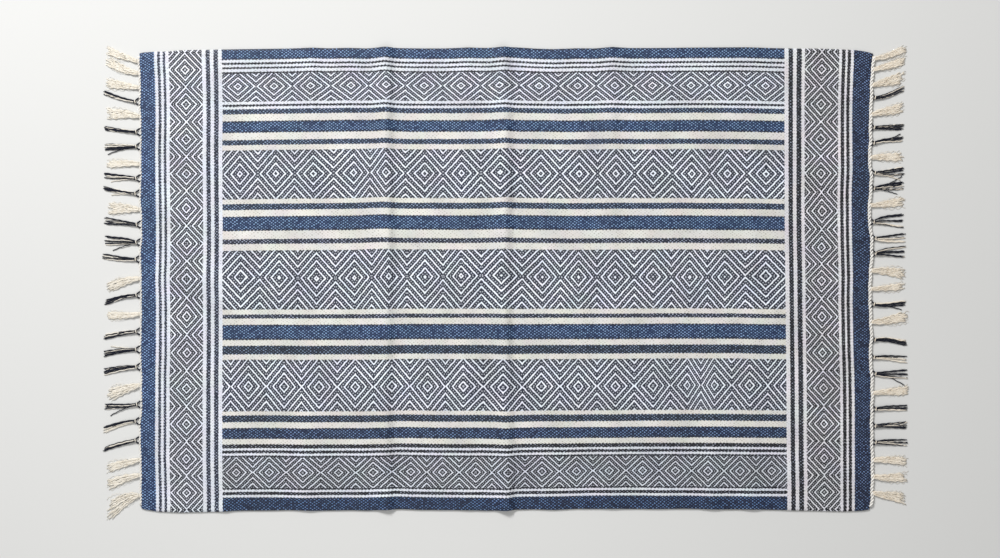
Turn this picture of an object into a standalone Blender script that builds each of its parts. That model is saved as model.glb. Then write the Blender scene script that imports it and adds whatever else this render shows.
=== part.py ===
"""A flat-woven cotton rug lying on a floor, with a row of tassels at each end."""

import math
import random

import bmesh
import bpy

MM = 0.001

# The cloth as it lies, before its edges wander
LENGTH = 1200.0
WIDTH = 760.0
THICKNESS = 3.0

# Where the long edges wander: x along the rug, shift in y of the back edge and of the front edge
LONG_EDGES = (
    (-600.0, -8.2, 3.0),
    (-593.9, -6.6, 0.7),
    (-574.1, -5.4, -2.5),
    (-554.4, -5.1, -3.5),
    (-534.7, -3.3, -4.3),
    (-514.9, -2.6, -3.6),
    (-475.4, -2.0, -3.0),
    (-435.9, -1.3, -1.0),
    (-396.4, -0.7, -1.0),
    (-356.9, -0.2, -0.3),
    (-317.4, 1.2, -1.3),
    (-287.8, 0.2, -0.8),
    (-258.2, 1.0, -0.3),
    (-228.6, 0.0, -1.0),
    (-199.0, 2.1, 0.5),
    (-172.6, 0.5, 1.5),
    (-139.7, 0.0, 0.2),
    (-100.2, 0.0, 0.0),
    (-60.7, 1.5, -0.5),
    (-31.1, 0.8, -1.2),
    (-1.5, 2.3, -0.7),
    (18.3, 1.8, 0.7),
    (47.9, -0.2, 1.0),
    (77.5, -1.2, 0.0),
    (117.0, 0.3, 2.0),
    (146.6, 0.0, 1.8),
    (176.2, 2.3, 2.0),
    (205.9, 0.7, 1.8),
    (245.4, 0.7, 1.5),
    (294.7, 1.3, 2.3),
    (344.1, 1.6, 1.0),
    (393.5, 2.0, 1.0),
    (433.0, 0.7, 0.5),
    (472.5, -0.2, -0.7),
    (511.9, -0.3, -1.5),
    (551.4, -1.6, -2.3),
    (576.1, -3.0, -1.6),
    (590.9, -5.6, -0.7),
    (600.0, -8.6, 1.0),
)

# Where the short edges wander: y across the rug, shift in x of the left edge and of the right edge
SHORT_EDGES = (
    (380.0, -2.3, 5.3),
    (366.6, -3.0, 4.3),
    (353.4, -2.0, 2.6),
    (327.1, -0.7, 1.0),
    (294.2, -1.5, 0.3),
    (264.5, 0.2, -1.0),
    (234.9, 0.2, -0.7),
    (203.6, 0.0, -2.6),
    (170.7, 0.3, 0.7),
    (137.8, -1.2, -1.5),
    (109.8, 0.8, -3.3),
    (72.0, 1.3, 1.0),
    (44.0, -1.0, 1.5),
    (14.4, 0.3, -1.0),
    (-18.5, 0.5, -2.0),
    (-54.7, 1.0, -0.8),
    (-92.6, 0.2, 0.7),
    (-127.1, -0.5, -1.5),
    (-160.0, 1.5, 1.6),
    (-191.3, 0.8, 2.0),
    (-207.8, 1.6, 1.5),
    (-240.7, -1.5, 1.0),
    (-273.6, -0.7, 1.6),
    (-308.1, 0.5, 2.3),
    (-341.1, 0.3, 2.0),
    (-364.1, 0.3, 1.6),
    (-380.0, 0.7, -0.7),
)

# Soft folds that run across the rug: x of the crest at the back and at the front edge,
# height at the back, in the middle and at the front, and half the width of the fold
FOLDS = (
    (-465.0, -463.0, 0.5, 1.5, 1.5, 18.0),
    (-317.0, -322.0, 1.4, 1.2, 1.6, 22.0),
    (-199.0, -215.0, 4.4, 4.4, 3.0, 26.0),
    (-61.0, -64.0, 1.5, 0.8, 0.8, 18.0),
    (-4.8, -3.0, 4.2, 5.0, 3.6, 26.0),
    (176.0, 172.0, 2.6, 1.6, 0.8, 22.0),
    (334.0, 336.0, 0.6, 1.2, 2.0, 20.0),
    (412.0, 404.0, 0.8, 1.6, 1.8, 20.0),
)
# Where a fold is sampled, as parts of its half width
FOLD_STEPS = (-1.1, -0.5, 0.0, 0.36, 0.8)
LARGEST_STEP = 60.0
ROWS_ACROSS = 19

# The cord along each short edge that the tassels grow from
EDGE_GAP = 0.3
CORD_WIDTH = 4.0
CORD_HEIGHT = 2.2
CORD_ENDS = 8.0

# Tassels, from the back to the front: yarn, y of the root, y of the outermost strand tips
# on either side, and how far the tips stand out from the cloth
LEFT_TASSELS = (
    ("cream", 356.7, 383.8, 371.5, 52.7),
    ("cream", 339.4, 363.3, 350.9, 54.3),
    ("cream", 315.5, 330.4, 317.2, 54.3),
    ("navy", 292.5, 310.6, 304.0, 57.6),
    ("cream", 268.5, 284.3, 267.0, 54.3),
    ("navy", 242.5, 251.4, 245.6, 58.4),
    ("navy", 218.5, 223.4, 211.9, 57.6),
    ("cream", 189.8, 196.1, 185.5, 54.3),
    ("navy", 166.1, 176.3, 167.4, 58.4),
    ("navy", 141.1, 152.6, 146.9, 58.4),
    ("cream", 114.8, 126.3, 108.2, 52.7),
    ("navy", 90.1, 102.3, 91.7, 59.2),
    ("navy", 60.5, 73.6, 57.2, 57.6),
    ("navy", 33.0, 41.7, 33.0, 60.1),
    ("cream", 1.4, -6.5, -18.5, 54.3),
    ("navy", -26.1, -33.3, -41.6, 58.4),
    ("cream", -56.9, -56.4, -66.2, 54.3),
    ("navy", -86.0, -90.9, -99.1, 59.2),
    ("navy", -115.6, -117.9, -127.1, 59.2),
    ("navy", -144.2, -146.9, -158.4, 59.2),
    ("cream", -174.5, -180.9, -198.7, 54.3),
    ("navy", -206.1, -207.1, -215.5, 59.2),
    ("mixed", -233.4, -242.3, -253.0, 59.2),
    ("navy", -264.9, -276.9, -283.5, 59.2),
    ("cream", -297.4, -304.8, -317.4, 54.3),
    ("cream", -322.6, -332.0, -345.7, 54.3),
    ("cream", -355.9, -363.4, -395.0, 54.3),
)
RIGHT_TASSELS = (
    ("cream", 363.6, 382.0, 373.1, 56.0),
    ("cream", 345.2, 365.6, 355.0, 57.6),
    ("cream", 319.2, 342.4, 324.6, 56.0),
    ("navy", 298.8, 317.8, 308.3, 56.8),
    ("cream", 271.4, 291.8, 275.6, 56.0),
    ("navy", 249.7, 256.3, 245.6, 56.8),
    ("navy", 224.4, 236.6, 229.1, 56.8),
    ("cream", 200.4, 208.6, 196.4, 57.6),
    ("navy", 174.8, 185.5, 170.7, 56.8),
    ("navy", 149.7, 162.5, 147.7, 56.0),
    ("cream", 121.7, 134.0, 121.7, 59.2),
    ("navy", 94.4, 111.5, 83.5, 56.8),
    ("mixed", 67.1, 76.6, 58.8, 57.6),
    ("navy", 42.5, 58.8, 35.8, 57.6),
    ("cream", 13.9, 18.0, 2.9, 59.2),
    ("cream", -16.2, -8.0, -16.2, 59.2),
    ("navy", -41.1, -35.8, -44.8, 60.1),
    ("cream", -70.3, -55.4, -69.0, 62.5),
    ("navy", -99.6, -99.1, -108.5, 61.7),
    ("mixed", -128.8, -125.5, -137.0, 62.5),
    ("navy", -155.6, -148.2, -165.0, 61.7),
    ("cream", -187.7, -176.5, -188.0, 62.5),
    ("navy", -213.5, -206.1, -216.0, 60.9),
    ("navy", -241.5, -234.1, -245.6, 60.9),
    ("navy", -268.6, -262.1, -275.2, 60.9),
    ("cream", -297.4, -293.3, -304.8, 59.2),
    ("cream", -324.6, -321.3, -334.5, 59.2),
    ("cream", -351.7, -354.2, -370.7, 57.6),
)
KNOT_OUT = 10.0
KNOT_SIZE = (4.6, 4.2, 3.6)
LOOSE_KNOT_OUT = 6.0
LOOSE_KNOT_SIZE = (3.6, 3.4, 2.8)
ROOT_IN = 1.2
ROOT_SPREAD = 5.5
ROOT_WIDE = 2.6
STRAND_ROOT = 2.8
STRAND_TIP = 1.9
STRAND_STEPS = 3
LOWEST_STRAND = 0.05


def between(table, at, column):
    """The value in a column of a table, at a place between its rows."""
    rows = sorted(table)
    at = min(max(at, rows[0][0]), rows[-1][0])
    for low, high in zip(rows, rows[1:]):
        if at <= high[0]:
            part = (at - low[0]) / (high[0] - low[0])
            return low[column] + part * (high[column] - low[column])
    return rows[-1][column]


def laid(u, v):
    """Where a point of the straight cloth lies once its edges wander."""
    along = u / LENGTH + 0.5
    across = v / WIDTH + 0.5
    x = u + (1 - along) * between(SHORT_EDGES, v, 1) + along * between(SHORT_EDGES, v, 2)
    y = v + across * between(LONG_EDGES, u, 1) + (1 - across) * between(LONG_EDGES, u, 2)
    return x, y


def crest(fold, v):
    """The x of a fold's crest and the fold's height, at a place across the rug."""
    across = v / WIDTH + 0.5
    x = fold[1] + (fold[0] - fold[1]) * across + 1.6 * math.sin(v / 74 + fold[0])
    back, middle, front = fold[2:5]
    edge = back if across > 0.5 else front
    part = abs(across - 0.5) * 2
    height = middle + (edge - middle) * part * part * (3 - 2 * part)
    return x, height * (1 + 0.16 * math.sin(v / 43 + 2.3 * fold[0]))


def lift(u, v):
    """How far the folds raise the cloth off the floor."""
    raised = 0.0
    for fold in FOLDS:
        x, height = crest(fold, v)
        reach = fold[5] * (1.1 if u < x else 0.8)
        off = abs(u - x) / reach
        if off < 0.999:
            raised += height * math.cos(off * math.pi / 2) ** 2
    return raised


def rows_across():
    """Places across the rug at which the cloth is sampled, closer together at the corners."""
    half = WIDTH / 2
    inner = [half - 22 - i * (WIDTH - 44) / (ROWS_ACROSS - 1) for i in range(ROWS_ACROSS)]
    return [half, half - 8] + inner + [8 - half, -half]


def columns_along(v):
    """Places along the rug at which the cloth is sampled, gathered at the folds."""
    marks = [-LENGTH / 2, -LENGTH / 2 + 8, -LENGTH / 2 + 26]
    for fold in FOLDS:
        x, _ = crest(fold, v)
        marks += [x + step * fold[5] for step in FOLD_STEPS]
    marks += [LENGTH / 2 - 26, LENGTH / 2 - 8, LENGTH / 2]
    straight = [-LENGTH / 2, -LENGTH / 2 + 8, -LENGTH / 2 + 26]
    straight += [fold[0] + step * fold[5] for fold in FOLDS for step in FOLD_STEPS]
    straight += [LENGTH / 2 - 26, LENGTH / 2 - 8, LENGTH / 2]
    columns = [marks[0]]
    for i in range(1, len(marks)):
        extra = math.ceil((straight[i] - straight[i - 1]) / LARGEST_STEP)
        for k in range(1, extra + 1):
            columns.append(marks[i - 1] + (marks[i] - marks[i - 1]) * k / extra)
    return columns


def material(name, colour, roughness):
    found = bpy.data.materials.new(name)
    found.use_nodes = True
    shader = found.node_tree.nodes["Principled BSDF"]
    shader.inputs["Base Color"].default_value = (*colour, 1.0)
    shader.inputs["Roughness"].default_value = roughness
    found.diffuse_color = (*colour, 1.0)
    return found


def object_of(name, points, faces, surface):
    """One object, from points in millimetres and faces that close it."""
    mesh = bpy.data.meshes.new(name)
    mesh.from_pydata([[c * MM for c in p] for p in points], [], faces)
    work = bmesh.new()
    work.from_mesh(mesh)
    bmesh.ops.recalc_face_normals(work, faces=work.faces)
    work.to_mesh(mesh)
    work.free()
    mesh.materials.append(surface)
    made = bpy.data.objects.new(name, mesh)
    bpy.context.scene.collection.objects.link(made)
    return made


def slab(upper, lower, wide):
    """Points and faces of a sheet between two grids of points that are each wide points across."""
    points = upper + lower
    count = len(upper)
    tall = count // wide
    faces = []
    for r in range(tall - 1):
        for c in range(wide - 1):
            a = r * wide + c
            quad = (a, a + 1, a + 1 + wide, a + wide)
            faces.append(quad)
            faces.append(tuple(count + k for k in reversed(quad)))
    rim = [c for c in range(wide)] + [r * wide + wide - 1 for r in range(1, tall)]
    rim += [(tall - 1) * wide + c for c in range(wide - 2, -1, -1)]
    rim += [r * wide for r in range(tall - 2, 0, -1)]
    for i, a in enumerate(rim):
        b = rim[(i + 1) % len(rim)]
        faces.append((a, a + count, b + count, b))
    return points, faces


def cloth_shape():
    upper, lower = [], []
    wide = 0
    for v in rows_across():
        columns = columns_along(v)
        wide = len(columns)
        for u in columns:
            x, y = laid(u, v)
            z = lift(u, v)
            upper.append((x, y, z + THICKNESS))
            lower.append((x, y, z))
    return slab(upper, lower, wide)


def cord_shape(side):
    """The narrow cord beside a short edge."""
    upper, lower = [], []
    for v in rows_across():
        if abs(v) > WIDTH / 2 - CORD_ENDS:
            continue
        x, y = laid(side * LENGTH / 2, v)
        for out in (EDGE_GAP, EDGE_GAP + CORD_WIDTH):
            upper.append((x + side * out, y, CORD_HEIGHT))
            lower.append((x + side * out, y, 0.0))
    return slab(upper, lower, 2)


def strand_shape(path, wide_root, wide_tip, base):
    """A three-sided strand that lies along a path on the floor."""
    points, faces = [], []
    last = len(path) - 1
    for i, (x, y) in enumerate(path):
        ax, ay = path[max(i - 1, 0)]
        bx, by = path[min(i + 1, last)]
        size = math.hypot(bx - ax, by - ay)
        nx, ny = (ay - by) / size, (bx - ax) / size
        wide = wide_root + (wide_tip - wide_root) * i / last
        points.append((x + nx * wide / 2, y + ny * wide / 2, base))
        points.append((x - nx * wide / 2, y - ny * wide / 2, base))
        points.append((x, y, base + wide * 0.85))
    for i in range(last):
        for k in range(3):
            a, b = i * 3 + k, i * 3 + (k + 1) % 3
            faces.append((a, b, b + 3, a + 3))
    faces.append((0, 2, 1))
    faces.append((last * 3, last * 3 + 1, last * 3 + 2))
    return points, faces


def knot_shape(x, y, size, turn):
    """A small pointed lump with a flat foot."""
    points = [(x, y, size[2])]
    for height, part in ((0.55, 0.95), (0.015, 0.85)):
        for k in range(5):
            angle = turn + k * math.pi * 0.4
            points.append(
                (
                    x + math.cos(angle) * size[0] * part,
                    y + math.sin(angle) * size[1] * part,
                    size[2] * height,
                )
            )
    faces = [(0, 1 + k, 1 + (k + 1) % 5) for k in range(5)]
    for k in range(5):
        a, b = 1 + k, 1 + (k + 1) % 5
        faces.append((a, a + 5, b + 5, b))
    faces.append(tuple(reversed(range(6, 11))))
    return points, faces


def tassel_shapes(tassel, side, dice):
    """The strands and the knot of one tassel."""
    yarn, root, tip_back, tip_front, reach = tassel
    edge = laid(side * LENGTH / 2, root)[0] + side * EDGE_GAP
    loose = yarn == "cream"
    knot_out = LOOSE_KNOT_OUT if loose else KNOT_OUT
    knot = LOOSE_KNOT_SIZE if loose else KNOT_SIZE
    shapes = [knot_shape(edge + side * knot_out, root, knot, dice.random())]
    if loose:
        starts = [(edge + side * ROOT_IN, root + off) for off in (-2.8, -0.9, 1.0, 2.8)]
    else:
        for off in (-ROOT_SPREAD, ROOT_SPREAD):
            path = [
                (edge + side * ROOT_IN, root + off),
                (edge + side * knot_out * 0.55, root + off * 0.72),
                (edge + side * knot_out, root),
            ]
            base = LOWEST_STRAND + 0.3 * dice.random()
            shapes.append(strand_shape(path, ROOT_WIDE, ROOT_WIDE, base))
        starts = [(edge + side * (knot_out - 1), root + off) for off in (-1.5, 0.0, 1.5)]
    last = len(starts) - 1
    for i, (x0, y0) in enumerate(starts):
        part = i / last
        y1 = tip_front + (tip_back - tip_front) * part
        x1 = edge + side * (reach - 4.5 * dice.random())
        bow = dice.uniform(-1.8, 1.8)
        path = []
        for k in range(STRAND_STEPS + 1):
            t = k / STRAND_STEPS
            eased = t * (0.55 + 0.45 * t)
            across = y0 + (y1 - y0) * eased + bow * math.sin(t * math.pi * 1.5)
            path.append((x0 + (x1 - x0) * t, across))
        base = LOWEST_STRAND + 0.3 * dice.random()
        shapes.append(strand_shape(path, STRAND_ROOT, STRAND_TIP, base))
    return shapes


def fill_voids(obj):
    """Leaves only the outer skin, so that no void stays sealed between strands."""
    work = bmesh.new()
    work.from_mesh(obj.data)
    waiting = set(work.verts)
    skins = []
    while waiting:
        skin, edge = set(), {waiting.pop()}
        while edge:
            skin |= edge
            edge = {e.other_vert(v) for v in edge for e in v.link_edges} - skin
        waiting -= skin
        skins.append(skin)
    for skin in sorted(skins, key=len)[:-1]:
        bmesh.ops.delete(work, geom=list(skin), context="VERTS")
    work.to_mesh(obj.data)
    work.free()


def fringe(name, side, tassels, surface, seed):
    """The cord beside one short edge and all its tassels, joined into one solid."""
    dice = random.Random(seed)
    points, faces = cord_shape(side)
    made = object_of(name, points, faces, surface)
    parts = bpy.data.collections.new(name + "_strands")
    bpy.context.scene.collection.children.link(parts)
    for tassel in tassels:
        for points, faces in tassel_shapes(tassel, side, dice):
            strand = object_of("strand", points, faces, surface)
            bpy.context.scene.collection.objects.unlink(strand)
            parts.objects.link(strand)
    joined = made.modifiers.new("join_strands", "BOOLEAN")
    joined.operation = "UNION"
    joined.operand_type = "COLLECTION"
    joined.collection = parts
    joined.solver = "EXACT"
    bpy.ops.object.select_all(action="DESELECT")
    bpy.context.view_layer.objects.active = made
    made.select_set(True)
    bpy.ops.object.modifier_apply(modifier=joined.name)
    for strand in list(parts.objects):
        bpy.data.objects.remove(strand, do_unlink=True)
    bpy.data.collections.remove(parts)
    fill_voids(made)
    return made


def centre(pieces):
    """Moves the whole rug so that the origin is under the middle of its bounding box."""
    corners = [v.co for piece in pieces for v in piece.data.vertices]
    for k in range(2):
        middle = (min(c[k] for c in corners) + max(c[k] for c in corners)) / 2
        for piece in pieces:
            for vertex in piece.data.vertices:
                vertex.co[k] -= middle


def build():
    for old in list(bpy.data.objects):
        bpy.data.objects.remove(old, do_unlink=True)
    weave = material("woven_cotton", (0.23, 0.26, 0.34), 0.92)
    yarn_left = material("fringe_yarn_left", (0.52, 0.48, 0.42), 0.94)
    yarn_right = material("fringe_yarn_right", (0.52, 0.48, 0.42), 0.94)
    points, faces = cloth_shape()
    centre(
        [
            object_of("cloth", points, faces, weave),
            fringe("fringe_left", -1, LEFT_TASSELS, yarn_left, 11),
            fringe("fringe_right", 1, RIGHT_TASSELS, yarn_right, 29),
        ]
    )


build()
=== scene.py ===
"""A flat-woven cotton dhurrie rug with tassels at both ends, laid on a plain pale floor."""

import math
import random

import bpy
import numpy as np
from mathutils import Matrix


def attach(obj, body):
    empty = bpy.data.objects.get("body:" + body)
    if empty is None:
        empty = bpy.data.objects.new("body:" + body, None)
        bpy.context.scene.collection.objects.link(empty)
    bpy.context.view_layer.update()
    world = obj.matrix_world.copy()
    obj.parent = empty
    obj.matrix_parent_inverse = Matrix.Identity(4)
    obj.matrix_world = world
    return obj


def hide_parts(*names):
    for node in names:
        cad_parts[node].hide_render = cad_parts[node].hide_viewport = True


bl_info = {
    "name": "Dhurrie rug",
    "version": (1, 0, 0),
    "blender": (4, 2, 0),
    "location": "View3D > Sidebar > Rug",
    "description": "Weaves a flat cotton rug with its edge cords and yarn tassels",
    "category": "Add Mesh",
}

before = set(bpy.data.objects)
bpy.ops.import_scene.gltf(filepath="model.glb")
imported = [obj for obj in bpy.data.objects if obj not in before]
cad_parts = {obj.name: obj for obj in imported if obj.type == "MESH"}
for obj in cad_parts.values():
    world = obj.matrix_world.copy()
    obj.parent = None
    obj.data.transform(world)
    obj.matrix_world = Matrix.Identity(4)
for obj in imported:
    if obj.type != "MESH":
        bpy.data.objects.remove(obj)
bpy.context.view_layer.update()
MM = 0.001

# The straight cloth, in millimetres, and where its middle lies in the frame
LENGTH = 1200.0
WIDTH = 760.0
MIDDLE = (-2.611, 5.592)

# Where the long edges wander: x along the rug, shift in y of the back edge and of the front edge
LONG_EDGES = (
    (-600.0, -8.2, 3.0),
    (-593.9, -6.6, 0.7),
    (-574.1, -5.4, -2.5),
    (-554.4, -5.1, -3.5),
    (-534.7, -3.3, -4.3),
    (-514.9, -2.6, -3.6),
    (-475.4, -2.0, -3.0),
    (-435.9, -1.3, -1.0),
    (-396.4, -0.7, -1.0),
    (-356.9, -0.2, -0.3),
    (-317.4, 1.2, -1.3),
    (-287.8, 0.2, -0.8),
    (-258.2, 1.0, -0.3),
    (-228.6, 0.0, -1.0),
    (-199.0, 2.1, 0.5),
    (-172.6, 0.5, 1.5),
    (-139.7, 0.0, 0.2),
    (-100.2, 0.0, 0.0),
    (-60.7, 1.5, -0.5),
    (-31.1, 0.8, -1.2),
    (-1.5, 2.3, -0.7),
    (18.3, 1.8, 0.7),
    (47.9, -0.2, 1.0),
    (77.5, -1.2, 0.0),
    (117.0, 0.3, 2.0),
    (146.6, 0.0, 1.8),
    (176.2, 2.3, 2.0),
    (205.9, 0.7, 1.8),
    (245.4, 0.7, 1.5),
    (294.7, 1.3, 2.3),
    (344.1, 1.6, 1.0),
    (393.5, 2.0, 1.0),
    (433.0, 0.7, 0.5),
    (472.5, -0.2, -0.7),
    (511.9, -0.3, -1.5),
    (551.4, -1.6, -2.3),
    (576.1, -3.0, -1.6),
    (590.9, -5.6, -0.7),
    (600.0, -8.6, 1.0),
)

# Where the short edges wander: y across the rug, shift in x of the left edge and of the right edge
SHORT_EDGES = (
    (380.0, -2.3, 5.3),
    (366.6, -3.0, 4.3),
    (353.4, -2.0, 2.6),
    (327.1, -0.7, 1.0),
    (294.2, -1.5, 0.3),
    (264.5, 0.2, -1.0),
    (234.9, 0.2, -0.7),
    (203.6, 0.0, -2.6),
    (170.7, 0.3, 0.7),
    (137.8, -1.2, -1.5),
    (109.8, 0.8, -3.3),
    (72.0, 1.3, 1.0),
    (44.0, -1.0, 1.5),
    (14.4, 0.3, -1.0),
    (-18.5, 0.5, -2.0),
    (-54.7, 1.0, -0.8),
    (-92.6, 0.2, 0.7),
    (-127.1, -0.5, -1.5),
    (-160.0, 1.5, 1.6),
    (-191.3, 0.8, 2.0),
    (-207.8, 1.6, 1.5),
    (-240.7, -1.5, 1.0),
    (-273.6, -0.7, 1.6),
    (-308.1, 0.5, 2.3),
    (-341.1, 0.3, 2.0),
    (-364.1, 0.3, 1.6),
    (-380.0, 0.7, -0.7),
)

# How far the woven lines wander in y at five places across the rug: x, then the shift at each
LINES_ACROSS = (267.3, 92.9, -86.5, -248.6, -358.8)
LINE_DRIFT = (
    (-455.7, -2.2, -2.6, -1.7, -0.9, -0.9),
    (-416.2, -1.5, -1.7, -1.4, -0.4, -0.5),
    (-376.7, -0.8, -1.4, -1.2, -0.4, -0.5),
    (-337.2, -0.4, -1.0, -1.6, -1.1, -1.4),
    (-297.7, 0.1, -0.7, -1.3, -0.8, -0.9),
    (-258.2, 0.7, -0.4, -1.2, -0.7, -0.7),
    (-238.4, 0.6, 0.2, -1.3, -0.9, -0.9),
    (-218.7, 0.7, 1.5, -1.1, -0.4, -0.4),
    (-199.0, 1.7, 1.7, -1.1, 0.4, 0.9),
    (-179.2, 0.4, 0.3, -0.2, 0.9, 1.2),
    (-159.5, -0.2, 0.2, 0.0, 1.0, 0.2),
    (-120.0, 0.0, 0.2, -0.1, 0.2, -0.4),
    (-80.5, -0.1, -0.2, 0.0, 0.0, -0.8),
    (-41.0, 0.2, 0.2, -0.1, 0.2, -0.9),
    (-21.2, 0.6, 0.7, -0.2, -0.2, -1.4),
    (-1.5, 1.6, 1.6, -0.6, -0.9, -0.7),
    (18.3, 0.3, 0.4, -0.7, -0.1, 0.7),
    (57.8, 0.0, 0.0, -0.2, 0.8, 0.9),
    (97.3, -0.7, -0.6, -0.2, 0.6, 1.4),
    (136.7, -0.1, -0.6, 0.0, 1.1, 2.5),
    (176.2, 0.6, 0.0, 0.0, 1.2, 2.7),
    (215.7, -0.1, -0.1, 0.2, 1.7, 2.7),
    (255.2, 0.1, 0.0, 0.5, 1.9, 2.2),
    (294.7, 0.7, 0.1, 0.7, 1.9, 2.4),
    (334.2, 0.5, -0.6, 0.4, 2.2, 1.7),
    (373.7, 0.2, -0.7, 0.7, 1.7, 1.6),
    (413.2, -0.5, -0.9, -0.5, 1.5, 1.3),
    (452.7, -1.4, -1.6, -0.7, 0.9, 1.1),
)

# How far the end borders' lines wander in x: y, shift at the left border's outer line,
# at the right border's inner line and at its outer line
BORDERS_ALONG = (-575.0, 461.0, 573.0)
BORDER_DRIFT = (
    (360.0, -1.8, 0.7, 2.6),
    (340.0, -0.6, 0.7, 1.4),
    (300.0, 0.5, 0.7, 0.0),
    (261.0, 0.9, 0.7, -0.4),
    (222.0, 0.0, 0.7, -0.2),
    (182.0, 0.3, 0.7, 0.3),
    (143.0, 0.9, 0.8, -1.5),
    (103.0, 1.4, 1.0, -1.2),
    (64.0, 1.6, 1.3, -0.6),
    (24.0, 1.2, 1.9, 0.5),
    (5.0, 0.1, 2.2, 1.0),
    (-35.0, 1.4, 2.6, 0.2),
    (-114.0, 1.3, 3.3, 1.6),
    (-153.0, 0.3, 3.7, 3.1),
    (-193.0, 0.2, 3.9, 3.7),
    (-252.0, 0.1, 4.2, 3.9),
    (-291.0, -0.2, 4.4, 3.9),
    (-331.0, 0.9, 5.2, 3.9),
    (-351.0, 1.5, 5.4, 3.9),
)
# The corners of these drifts are smoothed out over this distance to either side
DRIFT_EASE = 6.0

# Soft folds that run across the rug: x of the crest at the back and at the front edge,
# height at the back, in the middle and at the front, and half the width of the fold
FOLDS = (
    (-465.0, -463.0, 0.5, 1.5, 1.5, 15.0),
    (-317.0, -322.0, 1.4, 1.2, 1.6, 17.0),
    (-194.0, -197.0, 7.2, 7.2, 6.4, 16.0),
    (-61.0, -64.0, 1.5, 0.8, 0.8, 15.0),
    (-1.0, 0.0, 6.8, 7.6, 6.8, 16.0),
    (176.0, 172.0, 2.6, 1.6, 0.8, 17.0),
    (334.0, 336.0, 0.6, 1.2, 2.0, 20.0),
    (412.0, 404.0, 0.8, 1.6, 1.8, 20.0),
)
# How wide a fold's flanks are against that half width, on the left and on the right of its crest
FOLD_LEFT_FLANK = 1.4
FOLD_RIGHT_FLANK = 0.9
# How far a crest sways to the side, and the share by which its height changes along it
CREST_SWAY = 1.6
CREST_CHANGE = 0.16

# The rounded rim of the cloth: how far in from the edge, height of the upper and of the lower face
RIM = ((0.0, 1.7, 0.5), (0.7, 2.6, 0.1), (2.0, 3.0, 0.0))
# How far in from the edge the cloth's even grid starts
GRID_INSET = 6.0

# Stripes across the middle of the rug: y where each starts, from the front edge, and its weave
# Near the front edge some stripes take darker copies of their weaves, a painted shade, and near the
# back the thin stripes take a lighter copy, a painted light
FIELD_STRIPES = (
    (-399.5, "selvage"),
    (-377.2, "blue in deeper painted shade"),
    (-360.9, "navy"),
    (-358.2, "white"),
    (-354.4, "line"),
    (-349.4, "white"),
    (-345.7, "edge"),
    (-343.0, "front diamonds in painted shade"),
    (-292.6, "edge"),
    (-289.5, "white"),
    (-285.9, "line"),
    (-281.1, "white"),
    (-277.7, "line"),
    (-271.1, "cream"),
    (-262.4, "navy"),
    (-259.4, "blue in painted shade"),
    (-246.9, "navy"),
    (-244.3, "cream"),
    (-234.7, "thin"),
    (-223.5, "cream"),
    (-216.8, "rim"),
    (-213.6, "diamonds"),
    (-134.4, "rim"),
    (-131.4, "cream"),
    (-122.8, "thin"),
    (-108.4, "cream"),
    (-98.8, "navy"),
    (-95.8, "blue"),
    (-76.3, "navy"),
    (-73.6, "cream"),
    (-63.4, "blue line"),
    (-56.8, "cream"),
    (-48.6, "rim"),
    (-45.6, "diamonds"),
    (46.0, "rim"),
    (49.0, "cream"),
    (59.5, "blue line"),
    (67.6, "cream"),
    (81.2, "navy"),
    (84.5, "blue"),
    (102.3, "navy"),
    (105.1, "cream"),
    (115.6, "thin in painted light"),
    (125.5, "cream"),
    (133.1, "rim"),
    (136.1, "diamonds"),
    (210.6, "rim"),
    (213.7, "cream"),
    (222.1, "thin in painted light"),
    (230.8, "cream"),
    (242.5, "navy"),
    (245.4, "blue"),
    (259.3, "navy"),
    (261.9, "cream"),
    (273.1, "thin in painted light"),
    (281.2, "white"),
    (285.4, "line"),
    (288.9, "white"),
    (293.5, "rim"),
    (295.6, "diamonds"),
    (339.6, "edge"),
    (342.4, "white"),
    (347.3, "line"),
    (350.4, "white"),
    (354.4, "line"),
    (357.7, "white"),
    (362.4, "navy"),
    (364.9, "blue"),
    (377.1, "selvage"),
)
# Stripes of the two end borders: x where each starts, and its weave
LEFT_STRIPES = (
    (-621.4, "band"),
    (-576.5, "white"),
    (-571.6, "blue line"),
    (-567.0, "white"),
    (-562.5, "blue line"),
    (-558.1, "white"),
    (-552.8, "border diamonds"),
    (-498.5, "white"),
    (-492.4, "blue line"),
    (-485.5, "white"),
    (-479.6, "blue line"),
    (-472.2, "white"),
)
# The right-hand border takes darker copies of the band, border diamond and line weaves, a painted
# shade
RIGHT_STRIPES = (
    (458.5, "warm white"),
    (464.8, "line"),
    (472.2, "warm white"),
    (478.1, "line"),
    (486.3, "warm white"),
    (491.9, "right diamonds in painted shade"),
    (546.9, "warm white"),
    (551.7, "line in painted shade"),
    (557.4, "warm white"),
    (560.9, "line in painted shade"),
    (566.2, "warm white"),
    (570.8, "band in painted shade"),
)
FIELD_START = -465.8
FIELD_END = 458.5
# The longest part of a stripe table that one colour ramp, with its 256 steps, can show sharply
RAMP_SPAN = 90.0

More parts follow.
